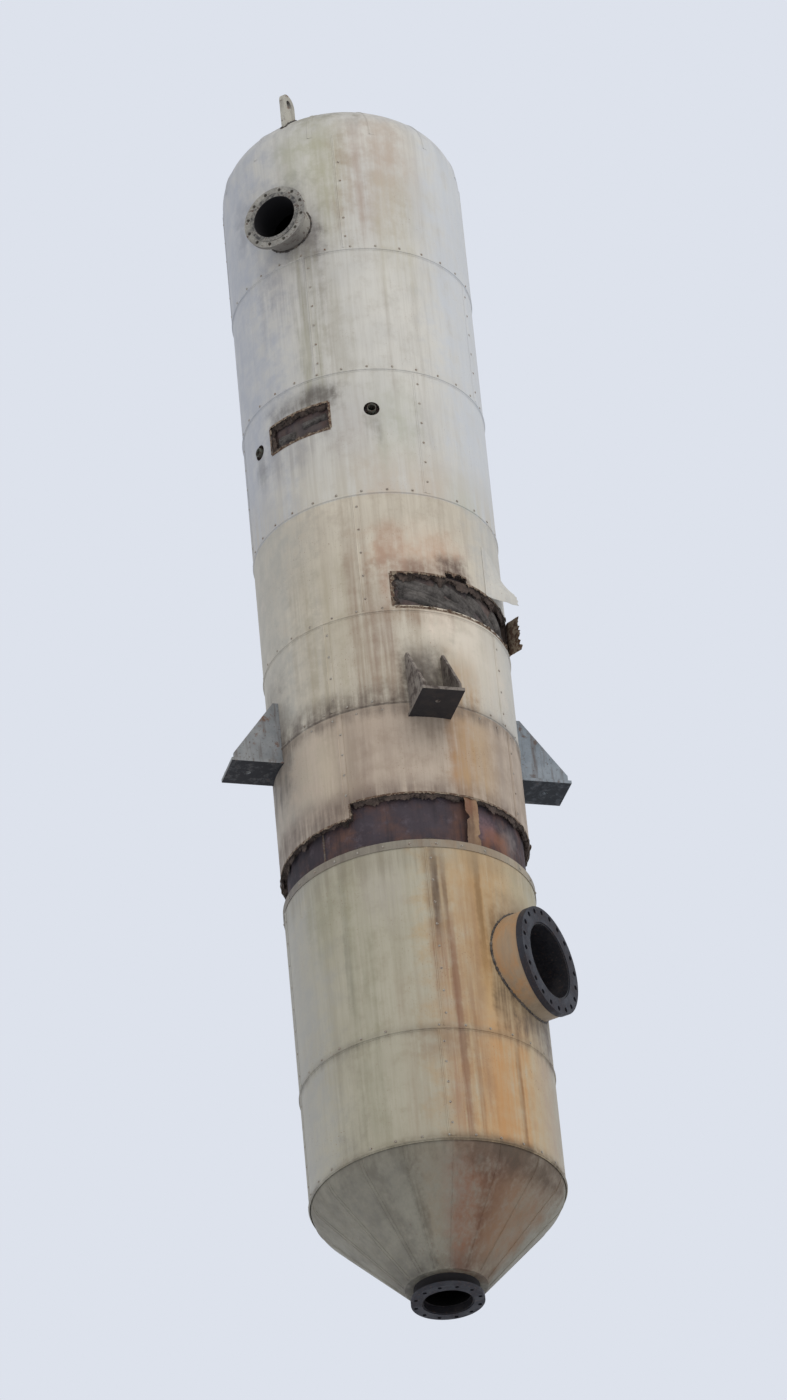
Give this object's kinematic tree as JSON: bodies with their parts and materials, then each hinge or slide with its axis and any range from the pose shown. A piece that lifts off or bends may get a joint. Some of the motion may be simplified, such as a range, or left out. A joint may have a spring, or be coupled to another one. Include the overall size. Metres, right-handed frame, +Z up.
{
  "type": "distillation column",
  "caption": "Upright insulated process vessel with a dished head, a conical bottom, support brackets, lifting lugs, flanged nozzles and a weathered sheet jacket with a bare band.",
  "frame": {"origin": "on the vessel's centre line, in the plane of the undersides of the four bracket feet, at the centre of their bolt circle", "axes": "+Z up along the vessel, -Y towards the vapour nozzle, +X towards the manway"},
  "size_m": [1.843, 1.883, 8.8811],
  "materials": {
    "bare_steel": "rusted and stained steel plate",
    "rusty_flange": "dark rusted steel",
    "painted_nozzle": "weathered cream paint",
    "painted_bracket": "dirty grey paint",
    "mineral_wool": "soaked brown mineral wool",
    "upper_sheet": "weathered grey-cream paint",
    "middle_sheet": "weathered cream paint with brown streaks",
    "lower_sheet": "cream paint with heavy rust streaks",
    "rusty_sheet": "rusted sheet"
  },
  "bodies": {
    "root": {"shell_lower": "bare_steel", "shell_middle": "bare_steel", "shell_upper": "bare_steel", "top_head": "bare_steel", "bottom_cone": "bare_steel", "outlet_neck": "rusty_flange", "outlet_flange": "rusty_flange", "vapour_neck": "painted_nozzle", "vapour_flange": "painted_nozzle", "manway_neck": "rusty_flange", "manway_flange": "rusty_flange", "manway_sleeve": "rusty_sheet", "manway_wool": "mineral_wool", "gauge_stub_left": "bare_steel", "gauge_stub_right": "bare_steel", "bracket_front_left": "painted_bracket", "bracket_front_right": "painted_bracket", "bracket_back_right": "painted_bracket", "bracket_back_left": "painted_bracket", "bracket_pad_front_left": "painted_bracket", "bracket_pad_front_right": "painted_bracket", "bracket_pad_back_right": "painted_bracket", "bracket_pad_back_left": "painted_bracket", "lifting_lug_front": "painted_nozzle", "lifting_lug_back": "painted_nozzle", "lifting_pad_front": "bare_steel", "lifting_pad_back": "bare_steel", "wool_head": "mineral_wool", "wool_upper": "mineral_wool", "wool_middle": "mineral_wool", "wool_short": "mineral_wool", "wool_lower": "mineral_wool", "wool_cone": "mineral_wool", "jacket_head": "upper_sheet", "jacket_upper": "upper_sheet", "jacket_middle": "middle_sheet", "jacket_short": "middle_sheet", "jacket_lower": "lower_sheet", "jacket_cone": "lower_sheet", "jacket_rim": "middle_sheet", "band_strap": "rusty_sheet", "torn_flap": "rusty_sheet"}
  },
  "joints": []
}
